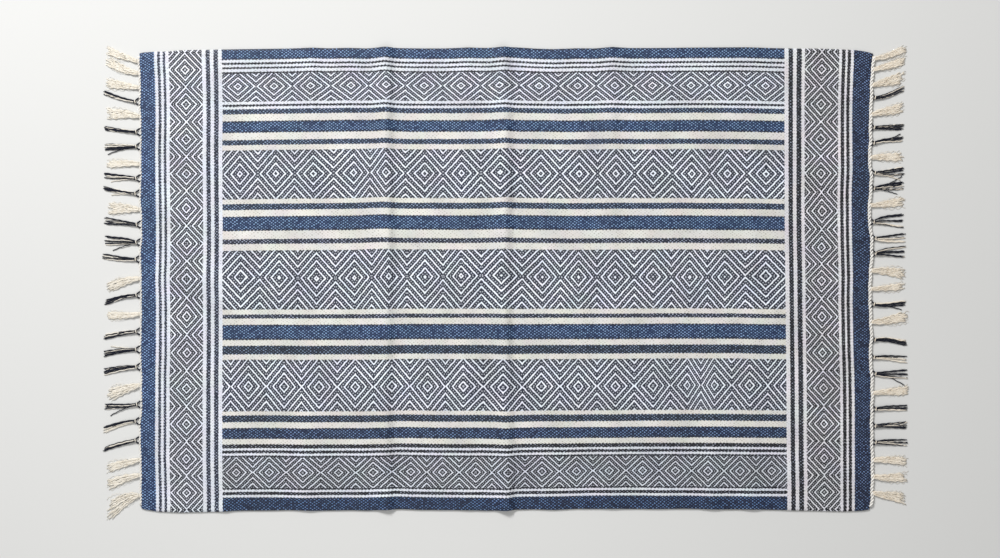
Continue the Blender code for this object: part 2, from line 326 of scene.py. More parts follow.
# What each weave shows: ground yarn, how much of the second yarn shows, second yarn, 1 for diamonds
WEAVES = {
    "selvage": ("#0a1730", 0.9, "#7893bb", 0.0),
    "blue": ("#10264a", 1.0, "#88a8d0", 0.0),
    # Painted shade: darker copies of blue for the stripes near the front edge
    "blue in painted shade": ("#0b1a38", 1.0, "#7793bd", 0.0),
    "blue in deeper painted shade": ("#071430", 1.0, "#5f80ae", 0.0),
    "band": ("#10264c", 1.0, "#8aabd6", 0.0),
    # Painted shade: a darker copy of band for the right-hand border
    "band in painted shade": ("#08122c", 1.0, "#6a84ae", 0.0),
    "navy": ("#0d172c", 0.9, "#7b90b2", 0.0),
    "thin": ("#151e2e", 1.0, "#7d8fa9", 0.0),
    # Painted light: a lighter copy of thin for the thin stripes near the back edge
    "thin in painted light": ("#19253a", 1.0, "#8ca0bd", 0.0),
    "line": ("#0b0d15", 0.6, "#9aa0b0", 0.0),
    # Painted shade: a darker copy of line for the right-hand border's outer lines
    "line in painted shade": ("#040509", 0.6, "#8c8c96", 0.0),
    "blue line": ("#161d2e", 1.0, "#a3abc0", 0.0),
    "edge": ("#0c101a", 0.5, "#9aa0ac", 0.0),
    "white": ("#dde0e8", 0.5, "#a6abb7", 0.0),
    "warm white": ("#e0dee2", 0.5, "#aaa8ae", 0.0),
    "cream": ("#dcdad5", 0.5, "#aaa79e", 0.0),
    "rim": ("#0e1320", 0.8, "#ecf4ff", 1.0),
    "diamonds": ("#141c31", 1.0, "#eff4fe", 1.0),
    "border diamonds": ("#0d1322", 1.0, "#ecf0fa", 1.0),
    # Painted shade: a darker copy of the border diamonds for the right-hand border
    "right diamonds in painted shade": ("#0a0d16", 1.0, "#e9eaf1", 1.0),
    # Painted shade: a darker copy of the diamonds for the band near the front edge
    "front diamonds in painted shade": ("#0b101c", 0.9, "#e6ebf6", 1.0),
}

# Diamonds woven along the bands: y of the band's middle, threads' pitch across it, and for every
# diamond its x, how far its middle lies off the band's, and the threads out to its first ring
BANDS = (
    (318.4, 2.295, (
        (-440.1, 0.4, 2.2), (-380.9, 0.0, 2.2), (-320.6, -0.4, 2.2), (-253.8, 0.0, 2.2),
        (-195.9, -0.4, 2.2), (-133.8, 0.4, 2.2), (-73.0, -0.4, 2.2), (-9.9, -0.4, 2.0),
        (55.5, 0.0, 2.2), (118.9, 0.0, 2.0), (179.8, -0.8, 2.2), (241.9, 0.0, 2.2),
        (305.5, -0.4, 2.2), (365.6, 0.0, 2.2), (428.1, 0.0, 2.2),
    )),
    (174.2, 3.086, (
        (-437.0, 0.8, 1.4), (-377.8, 0.8, 1.6), (-316.0, 0.0, 1.6), (-249.4, 1.2, 1.8),
        (-196.4, 0.0, 2.4), (-132.7, 0.0, 1.6), (-72.2, 0.4, 1.6), (-8.5, 0.8, 1.0),
        (58.3, 0.0, 1.8), (121.5, 0.0, 1.6), (181.9, -0.4, 1.8), (243.2, 0.0, 1.4),
        (306.7, -0.8, 2.0), (365.2, 0.0, 2.0), (429.0, 0.4, 1.6),
    )),
    (4.0, 3.185, (
        (-435.7, 1.6, -0.5), (-372.3, -0.4, 0.7), (-310.8, -1.6, 1.1), (-248.3, -0.8, 0.9),
        (-191.6, 0.4, 1.5), (-132.4, 0.0, 0.5), (-73.0, 1.6, 1.1), (-6.5, 2.4, 0.3),
        (61.0, -0.4, 0.3), (120.3, 0.0, 0.5), (180.8, -0.4, 0.3), (243.2, 0.0, 0.1),
        (303.2, -0.8, 0.7), (360.9, 0.0, 0.1), (428.5, 2.4, -1.1),
    )),
    (-176.1, 3.2, (
        (-422.8, 0.8, 2.5), (-364.2, 0.4, 2.9), (-306.7, 0.0, 2.9), (-247.0, 0.0, 2.5),
        (-186.7, 0.0, 2.7), (-128.0, -0.4, 2.7), (-69.4, 0.0, 2.5), (-3.7, -1.2, 2.9),
        (59.1, -0.4, 2.7), (120.1, -0.8, 2.7), (180.9, -0.4, 2.5), (243.2, -0.4, 2.9),
        (299.5, 0.4, 2.1), (343.5, 0.4, 2.5), (401.6, 0.8, 2.7), (461.9, 0.4, 3.5),
    )),
    (-317.3, 2.357, (
        (-442.8, 0.0, 2.5), (-388.8, 0.0, 2.7), (-333.4, 0.4, 2.7), (-274.4, 0.0, 2.5),
        (-217.9, 0.0, 2.9), (-155.4, 0.0, 2.5), (-103.5, 0.0, 2.7), (-48.8, 0.0, 2.9),
        (4.5, 0.4, 3.1), (60.2, 0.0, 2.7), (117.1, 0.0, 2.7), (170.7, 0.4, 2.7), (225.7, 0.4, 2.7),
        (279.7, 0.0, 2.7), (333.3, 0.0, 2.9), (386.1, 0.0, 2.9), (438.1, 0.8, 2.7),
    )),
)
# The same for the columns of the two borders: x of the middle, pitch, and y, shift and first ring
COLUMNS = (
    (-525.2, 2.437, (
        (-351.4, -0.4, 2.6), (-295.8, 0.4, 2.6), (-238.4, 0.4, 2.8), (-179.8, 0.4, 2.8),
        (-121.0, 0.4, 2.6), (-61.4, -0.4, 2.8), (0.7, 0.4, 3.2), (58.8, -0.4, 3.2),
        (117.0, -0.8, 2.8), (173.6, 0.0, 2.8), (230.0, 0.0, 3.0), (287.8, -0.8, 3.0),
        (344.6, -1.2, 2.6),
    )),
    (519.2, 2.437, (
        (-350.4, 1.0, 2.6), (-294.5, 1.2, 2.5), (-238.0, 1.2, 2.4), (-179.1, 0.8, 2.6),
        (-120.9, 0.0, 2.6), (-61.8, 0.0, 2.8), (-2.3, -0.4, 2.8), (52.4, 0.4, 2.6),
        (112.0, 2.4, 3.0), (174.4, -0.4, 2.8), (230.4, -0.4, 3.2), (288.2, 0.0, 3.0),
        (345.5, 0.0, 2.8),
    )),
)
THREADS_PER_DIAMOND = 22
# Where the left border's diamonds give way to the bands', and where the right border's start
LEFT_COLUMN_END = -484.0
RIGHT_COLUMN_START = 480.0
# Size of a cell of the chequer on the plain stripes, along the rug and across it
DOT_ALONG = 3.2
DOT_ACROSS = 2.4

# The two edge cords: side, thickness of a ply against the usual one, how far out from the cloth's
# edge the cord lies, and the length of one turn of its plies
EDGE_CORDS = (
    ("left", -1, 0.9, 0.6, 11.0),
    ("right", 1, 1.2, 1.6, 12.0),
)
# How far in from the corners a cord ends, its points for each turn, and how far it sways
CORD_INSET = 5.0
CORD_POINTS = 8
CORD_SWAY = 0.5
# Against a ply's radius: how far the plies wind to the side, up and down, and how high they lie
WINDING_SIDE = 1.3
WINDING_UP = 0.9
WINDING_HEIGHT = 1.95

# Points along a yarn and round a knot, and the sides of a yarn, of a knot's yarn and of a fibre
YARN_POINTS = 15
KNOT_POINTS = 11
YARN_SIDES = 6
KNOT_SIDES = 5
HAIR_SIDES = 3
# A yarn's curl in radians from its root to its tip, and how thin the tip is against the yarn
CURL_TURN = 26
TIP_TAPER = 0.6
# How the yarns of the two kinds of tassel fall: how far the knot stands from the cloth, how many
# yarns it has, how much shorter one may be, half its width at the knot, how much wider than
# measured its tips spread, how late it opens, and how far a yarn curls to the side
BUNCHES = {
    "loose": (5.0, 16, 11.0, 2.3, 0.4, 0.7, 0.9),
    "knotted": (9.0, 9, 5.0, 1.5, 0.6, 0.6, 0.35),
}
# The short yarns from the cloth to the knot: how far to the side each starts, then along it the
# distance from the cloth's edge, the share of that start and the height
ROOTS = {
    "loose": (
        (-2.6, -0.9, 0.9, 2.6),
        ((-0.6, 1.0, 1.9), (2.5, 0.9, 3.3), (5.0, 0.5, 2.4), (6.0, 0.4, 1.6)),
    ),
    "knotted": (
        (-6.3, -4.9, 4.9, 6.3),
        ((-0.8, 1.0, 1.9), (2.6, 0.92, 3.0), (6.4, 0.55, 2.0), (9.0, 0.12, 2.0)),
    ),
}
# The turns of yarn at the knot: yarn, how far past the knot, half its width and height, and slant
KNOTS = {
    "loose": (("cream", 0.0, 2.6, 1.7, 0.3),),
    "knotted": (("cream", -0.8, 2.5, 1.8, 0.25), ("navy", 1.0, 2.4, 1.7, -0.2)),
}
# Yarns start this far before the knot, at one of three heights, and the longest reach this far
# past the measured tips on each side
KNOT_OVERLAP = 1.5
YARN_HEIGHTS = (0.8, 1.9, 3.0)
TIPS_PAST = {-1: 3.5, 1: 1.0}
# Which of a knotted tassel's yarns are cream, and how strongly and how finely it falls in strands
ODD_YARNS = (2, 6)
GATHERED = 0.65
STRANDS = 1.4
# Chance in how yarns fall: the bend of a bunch and of a yarn, a tip's place, a yarn's thickness
BUNCH_BEND = 1.6
YARN_BEND = 0.5
TIP_SCATTER = 0.6
YARN_THICKNESS = (0.85, 1.08)
# Loose fibres that fluff out a cream tassel: how many, half their thickness, how far past the knot
# they start and past the tips they end, and how far to the side they start and end
HAIRS = 7
HAIR_RADIUS = 0.3
HAIR_START = (6, 26)
HAIR_END = (-6, 3)
HAIR_SIDE_START = 3.5
HAIR_SIDE_END = 4.0
# A fibre's height at its start, how late it opens and how far it curls, and how far along its
# bunch's own run to the side it starts, as a share
HAIR_HEIGHT = 3.0
HAIR_OPENING = 0.6
HAIR_CURL = 1.6
HAIR_ON_WAY = 0.2

# Tassels, from the back to the front: yarn, y of the root, y of the outermost yarn tips
# on either side, and how far the tips stand out from the cloth
LEFT_TASSELS = (
    ("cream", 359.0, 384.0, 371.5, 52.7),
    ("cream", 339.4, 363.3, 350.9, 54.3),
    ("cream", 315.5, 330.4, 317.2, 54.3),
    ("navy", 292.5, 310.6, 304.0, 57.6),
    ("cream", 268.5, 284.3, 267.0, 54.3),
    ("navy", 242.5, 251.4, 245.6, 58.4),
    ("navy", 218.5, 223.4, 211.9, 57.6),
    ("cream", 189.8, 196.1, 185.5, 54.3),
    ("navy", 166.1, 176.3, 167.4, 58.4),
    ("navy", 141.1, 152.6, 146.9, 58.4),
    ("cream", 114.8, 126.3, 108.2, 52.7),
    ("navy", 90.1, 102.3, 91.7, 59.2),
    ("navy", 60.5, 73.6, 57.2, 57.6),
    ("navy", 33.0, 41.7, 33.0, 60.1),
    ("cream", 1.4, -6.5, -18.5, 54.3),
    ("navy", -26.1, -33.3, -41.6, 58.4),
    ("cream", -56.9, -56.4, -66.2, 54.3),
    ("navy", -86.0, -90.9, -99.1, 59.2),
    ("navy", -115.6, -117.9, -127.1, 59.2),
    ("navy", -144.2, -146.9, -158.4, 59.2),
    ("cream", -174.5, -180.9, -198.7, 54.3),
    ("navy", -206.1, -207.1, -215.5, 59.2),
    ("mixed", -233.4, -242.3, -253.0, 59.2),
    ("navy", -264.9, -276.9, -283.5, 59.2),
    ("cream", -297.4, -304.8, -317.4, 54.3),
    ("cream", -322.6, -332.0, -345.7, 54.3),
    ("cream", -355.9, -363.4, -395.0, 54.3),
)
RIGHT_TASSELS = (
    ("cream", 363.6, 382.0, 373.1, 56.0),
    ("cream", 345.2, 365.6, 355.0, 57.6),
    ("cream", 319.2, 342.4, 324.6, 56.0),
    ("navy", 298.8, 317.8, 308.3, 56.8),
    ("cream", 271.4, 291.8, 275.6, 56.0),
    ("navy", 249.7, 256.3, 245.6, 56.8),
    ("navy", 224.4, 236.6, 229.1, 56.8),
    ("cream", 200.4, 208.6, 196.4, 57.6),
    ("navy", 174.8, 185.5, 170.7, 56.8),
    ("navy", 149.7, 162.5, 147.7, 56.0),
    ("cream", 121.7, 134.0, 121.7, 59.2),
    ("navy", 94.4, 111.5, 83.5, 56.8),
    ("mixed", 67.1, 76.6, 58.8, 57.6),
    ("navy", 42.5, 58.8, 35.8, 57.6),
    ("cream", 13.9, 18.0, 2.9, 59.2),
    ("cream", -16.2, -8.0, -16.2, 59.2),
    ("navy", -41.1, -35.8, -44.8, 60.1),
    ("cream", -70.3, -55.4, -69.0, 62.5),
    ("navy", -99.6, -99.1, -108.5, 61.7),
    ("mixed", -128.8, -125.5, -137.0, 62.5),
    ("navy", -155.6, -148.2, -165.0, 61.7),
    ("cream", -187.7, -176.5, -188.0, 62.5),
    ("navy", -213.5, -206.1, -216.0, 60.9),
    ("navy", -241.5, -234.1, -245.6, 60.9),
    ("navy", -268.6, -262.1, -275.2, 60.9),
    ("cream", -297.4, -293.3, -304.8, 59.2),
    ("cream", -324.6, -321.3, -334.5, 59.2),
    ("cream", -351.7, -354.2, -370.7, 57.6),
)
# Single yarns that have come away from their tassel: side, y of the root, yarn, y of the tip, reach
STRAYS = (
    (-1, 218.5, "navy", 205.6, 55.0),
    (-1, 166.1, "cream", 160.5, 50.0),
    (-1, 141.1, "cream", 139.0, 48.0),
    (-1, 60.5, "navy", 46.0, 47.0),
    (-1, -115.6, "cream", -109.0, 50.0),
    (-1, -206.1, "navy", -225.5, 52.0),
    (1, 224.4, "navy", 239.0, 52.0),
    (1, 174.8, "cream", 163.0, 50.0),
    (1, 149.7, "navy", 169.7, 54.0),
    (1, 149.7, "navy", 139.8, 46.0),
    (1, -41.1, "navy", -50.3, 54.0),
    (1, -155.6, "navy", -173.7, 56.0),
)
# How far from the cloth a stray starts, its height there, its thickness against a yarn's, how late
# it opens and how far it curls
STRAY_START = 9.5
STRAY_HEIGHT = 2.6
STRAY_THICKNESS = 0.8
STRAY_OPENING = 0.8
STRAY_CURL = 0.4

# What makes a mix node mix colours
COLOURS = {"output": 2, "data_type": "RGBA"}
# The length over which a yarn's two plies wind once round each other
PLY_LAY = 3.4
# Painted shade in the furrows between a yarn's plies: how much of its colour each cotton yarn keeps
# there, in red, green and blue. Pale yarn's shade is warmer, where light bounces between its plies,
# and navy's only darker
FURROW_SHADES = {
    "bleached_cotton_cord": (0.75, 0.73, 0.7),
    "undyed_cotton_yarn": (0.72, 0.66, 0.55),
    "cotton_yarn_in_painted_shade": (0.72, 0.64, 0.54),
    "navy_cotton_yarn": (0.6, 0.6, 0.6),
}

# The stage, in metres: the lights' names, places, widths and powers, and the camera over the rug
LIGHTS = (
    ("window_light", (-1.4, 2.5, 2.6), 1.0, 138.2),
    ("overhead_light", (-0.2, -0.8, 1.3), 0.8, 3.32),
)
CAMERA_PLACE = (-0.0115, 0.006, 2.6)
CAMERA_LENS = 56.81
SKY_STRENGTH = 0.38
FLOOR_WIDTH = 12.0
# The floor lies just under the cloth's lower face, so that the two don't flicker
FLOOR_HEIGHT = -0.0002


def linear(hexes):
    """An sRGB hex colour as linear red, green, blue and alpha."""
    found = []
    for k in (1, 3, 5):
        c = int(hexes[k : k + 2], 16) / 255
        found.append(c / 12.92 if c <= 0.04045 else ((c + 0.055) / 1.055) ** 2.4)
    return (*found, 1.0)


class RugSizes(bpy.types.PropertyGroup):
    """Sizes of the cloth, the cords and the tassels' yarns."""

    cloth_step: bpy.props.FloatProperty(
        name="Cloth step",
        description="Distance between the cloth's grid points",
        default=0.0052,
        unit="LENGTH",
        subtype="DISTANCE",
    )
    ripple: bpy.props.FloatProperty(
        name="Ripple",
        description="Height of the gentle ripples in the cloth",
        default=0.0007,
        unit="LENGTH",
        subtype="DISTANCE",
    )
    yarn_radius: bpy.props.FloatProperty(
        name="Yarn radius",
        description="Half the thickness of a tassel's yarn",
        default=0.00085,
        unit="LENGTH",
        subtype="DISTANCE",
    )
    ply_radius: bpy.props.FloatProperty(
        name="Ply radius",
        description="Half the thickness of one ply of an edge cord",
        default=0.00115,
        unit="LENGTH",
        subtype="DISTANCE",
    )
    seed: bpy.props.IntProperty(
        name="Seed",
        description="Changes how the tassels' yarns fall",
        default=7,
    )


class RugColours(bpy.types.PropertyGroup):
    """Colours of the tassels' yarns and the floor."""

    cream_yarn: bpy.props.FloatVectorProperty(
        name="Cream yarn",
        description="Colour of the undyed cotton yarn",
        default=linear("#f1ece2")[:3],
        subtype="COLOR",
        min=0.0,
        max=1.0,
    )
    # Painted shade: a warmer copy of the cream yarn for the right-hand tassels, which lie in shade
    yarn_in_painted_shade: bpy.props.FloatVectorProperty(
        name="Yarn in painted shade",
        description="Colour of the right-hand tassels' cotton yarn, warmer and duller for painted shade",
        default=linear("#f3ebdd")[:3],
        subtype="COLOR",
        min=0.0,
        max=1.0,
    )
    navy_yarn: bpy.props.FloatVectorProperty(
        name="Navy yarn",
        description="Colour of the navy cotton yarn",
        default=linear("#1d202d")[:3],
        subtype="COLOR",
        min=0.0,
        max=1.0,
    )
    floor: bpy.props.FloatVectorProperty(
        name="Floor",
        description="Colour of the plain floor",
        default=linear("#dadad8")[:3],
        subtype="COLOR",
        min=0.0,
        max=1.0,
    )


def node(tree, kind, inputs, output=0, **settings):
    """Adds a node with its settings, sets or links its inputs, and returns one of its outputs."""
    made = tree.nodes.new(kind)
    for name, value in settings.items():
        setattr(made, name, value)
    for key, value in inputs.items():
        if isinstance(value, bpy.types.NodeSocket):
            tree.links.new(value, made.inputs[key])
        else:
            made.inputs[key].default_value = value
    return made.outputs[output]


def column(table, at, index):
    """Values of a table's column at many places between its rows."""
    rows = sorted(table)
    return np.interp(at, [row[0] for row in rows], [row[index] for row in rows])


def eased(table, at, index):
    """The same with the corners between the rows smoothed out."""
    return sum(column(table, at + off, index) for off in (-DRIFT_EASE, 0.0, DRIFT_EASE)) / 3


def outline(u, v):
    """Where points of the straight cloth lie once only its edges wander."""
    along = u / LENGTH + 0.5
    across = v / WIDTH + 0.5
    x = u + (1 - along) * column(SHORT_EDGES, v, 1) + along * column(SHORT_EDGES, v, 2)
    y = v + across * column(LONG_EDGES, u, 1) + (1 - across) * column(LONG_EDGES, u, 2)
    return x, y


def shifted(at, levels, shifts):
    """Places moved by the shifts given at some levels, and evenly between them."""
    moved = at.copy()
    for i in range(len(levels) - 1):
        part = np.clip((at - levels[i]) / (levels[i + 1] - levels[i]), 0, 1)
        inside = (at >= levels[i]) & ((at < levels[i + 1]) | (i == len(levels) - 2))
        moved = np.where(inside, at + shifts[i] + (shifts[i + 1] - shifts[i]) * part, moved)
    return moved


def laid(u, v):
    """Where points of the straight cloth lie, with its woven lines wandering too."""
    shifts = [column(LONG_EDGES, u, 2)]
    shifts += [eased(LINE_DRIFT, u, k) for k in range(len(LINES_ACROSS), 0, -1)]
    shifts += [column(LONG_EDGES, u, 1)]
    y = shifted(v, [-WIDTH / 2, *reversed(LINES_ACROSS), WIDTH / 2], shifts)
    left, inner, right = (eased(BORDER_DRIFT, v, k) for k in (1, 2, 3))
    levels = [-LENGTH / 2, BORDERS_ALONG[0], FIELD_START, *BORDERS_ALONG[1:], LENGTH / 2]
    shifts = [column(SHORT_EDGES, v, 1), left, left / 2, inner, right, column(SHORT_EDGES, v, 2)]
    return shifted(u, levels, shifts), y


def lift(u, v):
    """How far the folds raise the cloth off the floor."""
    raised = np.zeros_like(u)
    across = v / WIDTH + 0.5
    part = np.abs(across - 0.5) * 2
    for crest_back, crest_front, back, middle, front, half in FOLDS:
        x = crest_front + (crest_back - crest_front) * across
        x = x + CREST_SWAY * np.sin(v / 74 + crest_back)
        edge = np.where(across > 0.5, back, front)
        height = middle + (edge - middle) * part * part * (3 - 2 * part)
        height = height * (1 + CREST_CHANGE * np.sin(v / 43 + 2.3 * crest_back))
        reach = half * np.where(u < x, FOLD_LEFT_FLANK, FOLD_RIGHT_FLANK)
        off = np.clip(np.abs(u - x) / reach, 0, 1)
        raised += height * np.cos(off * math.pi / 2) ** 2
    return raised


def ripples(u, v):
    """Gentle unevenness of cloth that has been folded and laid out again, from 0 to 1.

    Four wave trains, 33 to 109 mm long, cross each other and bend a little on their way.
    """
    wave = np.sin(u / 9.1 + 1.7 * np.sin(v / 61.0)) + 0.8 * np.sin(u / 15.7 + v / 97.0 + 1.0)
    wave += 0.7 * np.sin(v / 17.3 + 1.3 * np.sin(u / 83.0)) + 0.5 * np.sin(u / 5.3 - v / 41.0)
    return 0.5 + wave / 6.0


def threads(u, v, x, y):
    """Run along, place across and first ring of the diamonds, in threads, for points of the cloth.

    The diamonds' places along a band are measured on the laid cloth, and across it on the straight.
    """
    rows = sorted(BANDS)
    limits = [-WIDTH, *((low[0] + high[0]) / 2 for low, high in zip(rows, rows[1:])), WIDTH]
    parts = []
    for row, low, high in zip(rows, limits, limits[1:]):
        parts.append((row, (v >= low) & (v < high), x, v))
    for row, inside in zip(COLUMNS, (u < LEFT_COLUMN_END, u > RIGHT_COLUMN_START)):
        parts.append((row, inside, y, u))
    run, cross, first = (np.zeros_like(u) for _ in range(3))
    for (middle, pitch, diamonds), inside, along, across in parts:
        run = np.where(inside, spaced(along, [row[0] for row in diamonds]), run)
        off = across - middle - column(diamonds, along, 1)
        cross = np.where(inside, off / pitch, cross)
        first = np.where(inside, column(diamonds, along, 2), first)
    return run, cross, first


def spaced(at, centres):
    """Threads counted along a band so that each diamond's middle falls on a whole diamond."""
    centres = sorted(centres)
    places = np.array([2 * centres[0] - centres[1], *centres, 2 * centres[-1] - centres[-2]])
    counts = np.arange(-1, len(centres) + 1) * float(THREADS_PER_DIAMOND)
    return np.interp(at, places, counts)


def finish_piece(obj, surface, slot, *nodes):
    """Gives a piece its material and body, and hides the CAD nodes that it stands for.

    Its slot argument is not used.
    """
    obj.data.materials.clear()
    obj.data.materials.append(surface)
    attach(obj, "root")
    if nodes:
        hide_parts(*nodes)


def mesh_object(name, points, faces):
    """A mesh object from points in the cloth's own millimetres."""
    points = np.asarray(points, dtype=float)
    points = (points + np.array([*MIDDLE, 0.0])) * MM
    mesh = bpy.data.meshes.new(name)
    mesh.from_pydata(points.tolist(), [], faces)
    mesh.polygons.foreach_set("use_smooth", [True] * len(mesh.polygons))
    mesh.update()
    made = bpy.data.objects.new(name, mesh)
    bpy.context.scene.collection.objects.link(made)
    return made


def grid_lines(half, step):
    """Places from one edge to the other, gathered at the rims."""
    rim = [row[0] for row in RIM]
    inner = half - GRID_INSET
    count = int(round(2 * inner / step))
    middle = [-inner + 2 * inner * i / count for i in range(count + 1)]
    return [-half + r for r in rim] + middle + [half - r for r in reversed(rim)]


def build_cloth(sizes):
    """The woven sheet: an upper and a lower face with a rounded rim between them."""
    step = sizes.cloth_step / MM
    us = np.array(grid_lines(LENGTH / 2, step))
    vs = np.array(grid_lines(WIDTH / 2, step))
    u, v = np.meshgrid(us, vs)
    u, v = u.ravel(), v.ravel()
    x, y = laid(u, v)
    z = lift(u, v) + sizes.ripple / MM * ripples(u, v)
    inset = np.minimum(LENGTH / 2 - np.abs(u), WIDTH / 2 - np.abs(v))
    upper = z + column(RIM, inset, 1)
    lower = z + column(RIM, inset, 2)
    points = np.concatenate([np.stack([x, y, upper], 1), np.stack([x, y, lower], 1)])
    wide, tall, count = len(us), len(vs), len(u)
    faces = []
    for r in range(tall - 1):
        for c in range(wide - 1):
            a = r * wide + c
            quad = (a, a + 1, a + 1 + wide, a + wide)
            faces.append(quad)
            faces.append(tuple(count + k for k in reversed(quad)))
    rim = list(range(wide)) + [r * wide + wide - 1 for r in range(1, tall)]
    rim += [(tall - 1) * wide + c for c in range(wide - 2, -1, -1)]
    rim += [r * wide for r in range(tall - 2, 0, -1)]
    for i, a in enumerate(rim):
        b = rim[(i + 1) % len(rim)]
        faces.append((a, a + count, b + count, b))
    cloth = mesh_object("rug_cloth", points, faces)
    corners = np.empty(len(cloth.data.loops), dtype=np.int32)
    cloth.data.loops.foreach_get("vertex_index", corners)
    run, cross, first = threads(u, v, x, y)
    maps = (("flat", u * MM, v * MM), ("diamonds", run, cross), ("rings", first, first * 0))
    for name, across, up in maps:
        layer = cloth.data.uv_layers.new(name=name)
        pairs = np.stack([np.tile(across, 2), np.tile(up, 2)], 1)[corners]
        layer.data.foreach_set("uv", pairs.ravel().astype(np.float32))
    return cloth


def tube(path, radii, sides):
    """Points, faces and UV pairs of a closed tube; u runs along it in millimetres, v round it."""
    path = np.asarray(path, dtype=float)
    along = np.gradient(path, axis=0)
    along /= np.linalg.norm(along, axis=1)[:, None]
    level = np.cross(along, (0.0, 0.0, 1.0))
    level /= np.maximum(np.linalg.norm(level, axis=1), 1e-6)[:, None]
    up = np.cross(level, along)
    steps = np.concatenate([[0.0], np.cumsum(np.linalg.norm(np.diff(path, axis=0), axis=1))])
    radii = np.broadcast_to(np.asarray(radii, dtype=float), (len(path),))
    points, places = [], []
    for i in range(len(path)):
        for k in range(sides):
            angle = 2 * math.pi * k / sides
            off = level[i] * math.cos(angle) + up[i] * math.sin(angle)
            points.append(path[i] + off * radii[i])
            places.append((steps[i], k / sides))
    faces = []
    for i in range(len(path) - 1):
        for k in range(sides):
            a, b = i * sides + k, i * sides + (k + 1) % sides
            faces.append((a, b, b + sides, a + sides))
    faces.append(tuple(reversed(range(sides))))
    faces.append(tuple((len(path) - 1) * sides + k for k in range(sides)))
    return points, faces, places


def tubes_object(name, tubes):
    """One object of many tubes, with a UV map named yarn."""
    points, faces, places = [], [], []
    for more_points, more_faces, more_places in tubes:
        first = len(points)
        points += more_points
        faces += [tuple(first + k for k in face) for face in more_faces]
        places += more_places
    made = mesh_object(name, points, faces)
    corners = np.empty(len(made.data.loops), dtype=np.int32)
    made.data.loops.foreach_get("vertex_index", corners)
    layer = made.data.uv_layers.new(name="yarn")
    layer.data.foreach_set("uv", np.array(places, dtype=np.float32)[corners].ravel())
    return made


def edge_cord(side, radius, out, pitch):
    """The two plies of the cord that the tassels of one side grow from."""
    half = WIDTH / 2 - CORD_INSET
    v = np.linspace(half, -half, int(2 * half / pitch * CORD_POINTS))
    x, y = outline(np.full_like(v, side * LENGTH / 2), v)
    x = x + side * out + CORD_SWAY * np.sin(v / 5.3 + np.sin(v / 31.0))
    plies = []
    for start in (0.0, math.pi):
        turn = 2 * math.pi * (half - v) / pitch + start
        beside = x + np.cos(turn) * radius * WINDING_SIDE
        height = radius * WINDING_HEIGHT + np.sin(turn) * radius * WINDING_UP
        plies.append(tube(np.stack([beside, y, height], 1), radius, YARN_SIDES))
    return plies


def yarn_path(start, end, off, bend, dice, height, radius, opening, curl):
    """A yarn on the floor from start to end, as far to the side of its bunch as off gives.

    off is the distance to the side at the root and at the tip, and a smaller opening reaches it
    sooner. The yarn starts at its height, sinks to the floor and curls as it goes.
    """
    (x0, y0), (x1, y1) = start, end
    phase = dice.uniform(0, 6.28)
    crimp = dice.uniform(0.8, 1.2)
    path = []
    for i in range(YARN_POINTS):
        t = i / (YARN_POINTS - 1)
        # It leaves its root nearly straight, then turns towards its tip, and bends there and back
        across = y0 + (y1 - y0) * t * (0.55 + 0.45 * t) + bend * math.sin(t * math.pi * 1.5)
        across += off[0] + (off[1] - off[0]) * t**opening
        across += curl * math.sin(phase + t * CURL_TURN * crimp) * min(1.0, 4 * t)
        z = radius + height * (1 - t) ** 1.5 + 0.25 * (1 + math.sin(phase + 9 * t)) * t
        path.append((x0 + (x1 - x0) * t, across, z))
    return path


def edge_at(side, y):
    """How far out the cloth's short edge lies at a place across the rug."""
    return float(outline(np.array([side * LENGTH / 2]), np.array([y]))[0][0])


